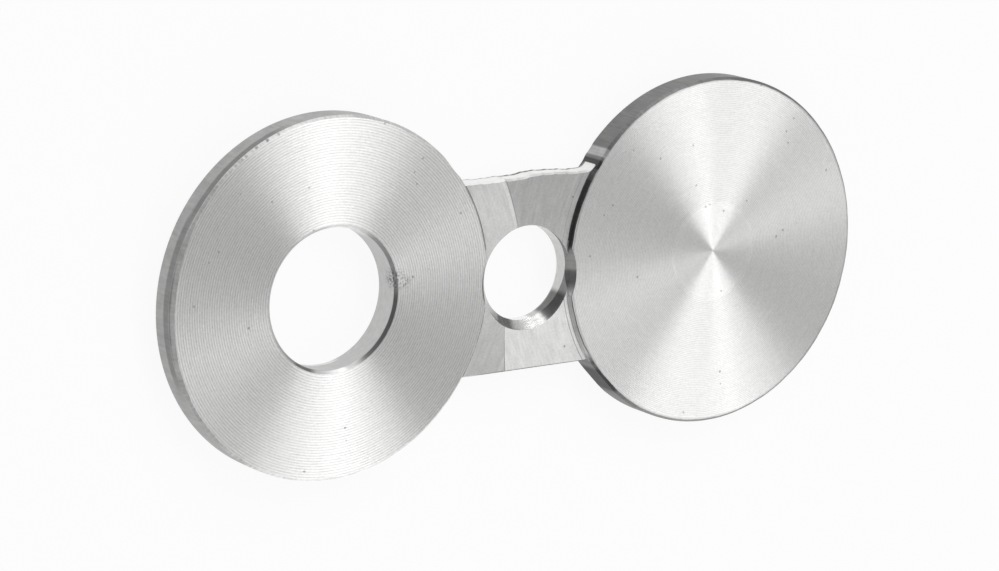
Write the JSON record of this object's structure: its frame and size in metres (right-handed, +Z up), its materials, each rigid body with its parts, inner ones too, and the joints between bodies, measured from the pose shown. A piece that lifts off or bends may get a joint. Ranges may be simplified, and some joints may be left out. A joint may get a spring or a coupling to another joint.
{
  "type": "spectacle blind",
  "caption": "Figure-8 line blank: a bored spacer disc and a solid blank disc joined by a recessed web with a swing hole, swung between two pipe flanges to open or close the line.",
  "frame": {"origin": "axis of the swing hole at the bottom faces of the discs, which is the middle of the plate's outline", "axes": "+X from the bored disc through the web to the blank disc, +Z up out of the front faces, the plate lying flat on its back faces"},
  "size_m": [0.159, 0.07, 0.0064],
  "materials": {
    "turned_steel": "turned, with ground edges"
  },
  "bodies": {
    "root": {"spectacle_plate": "turned_steel"}
  },
  "joints": []
}
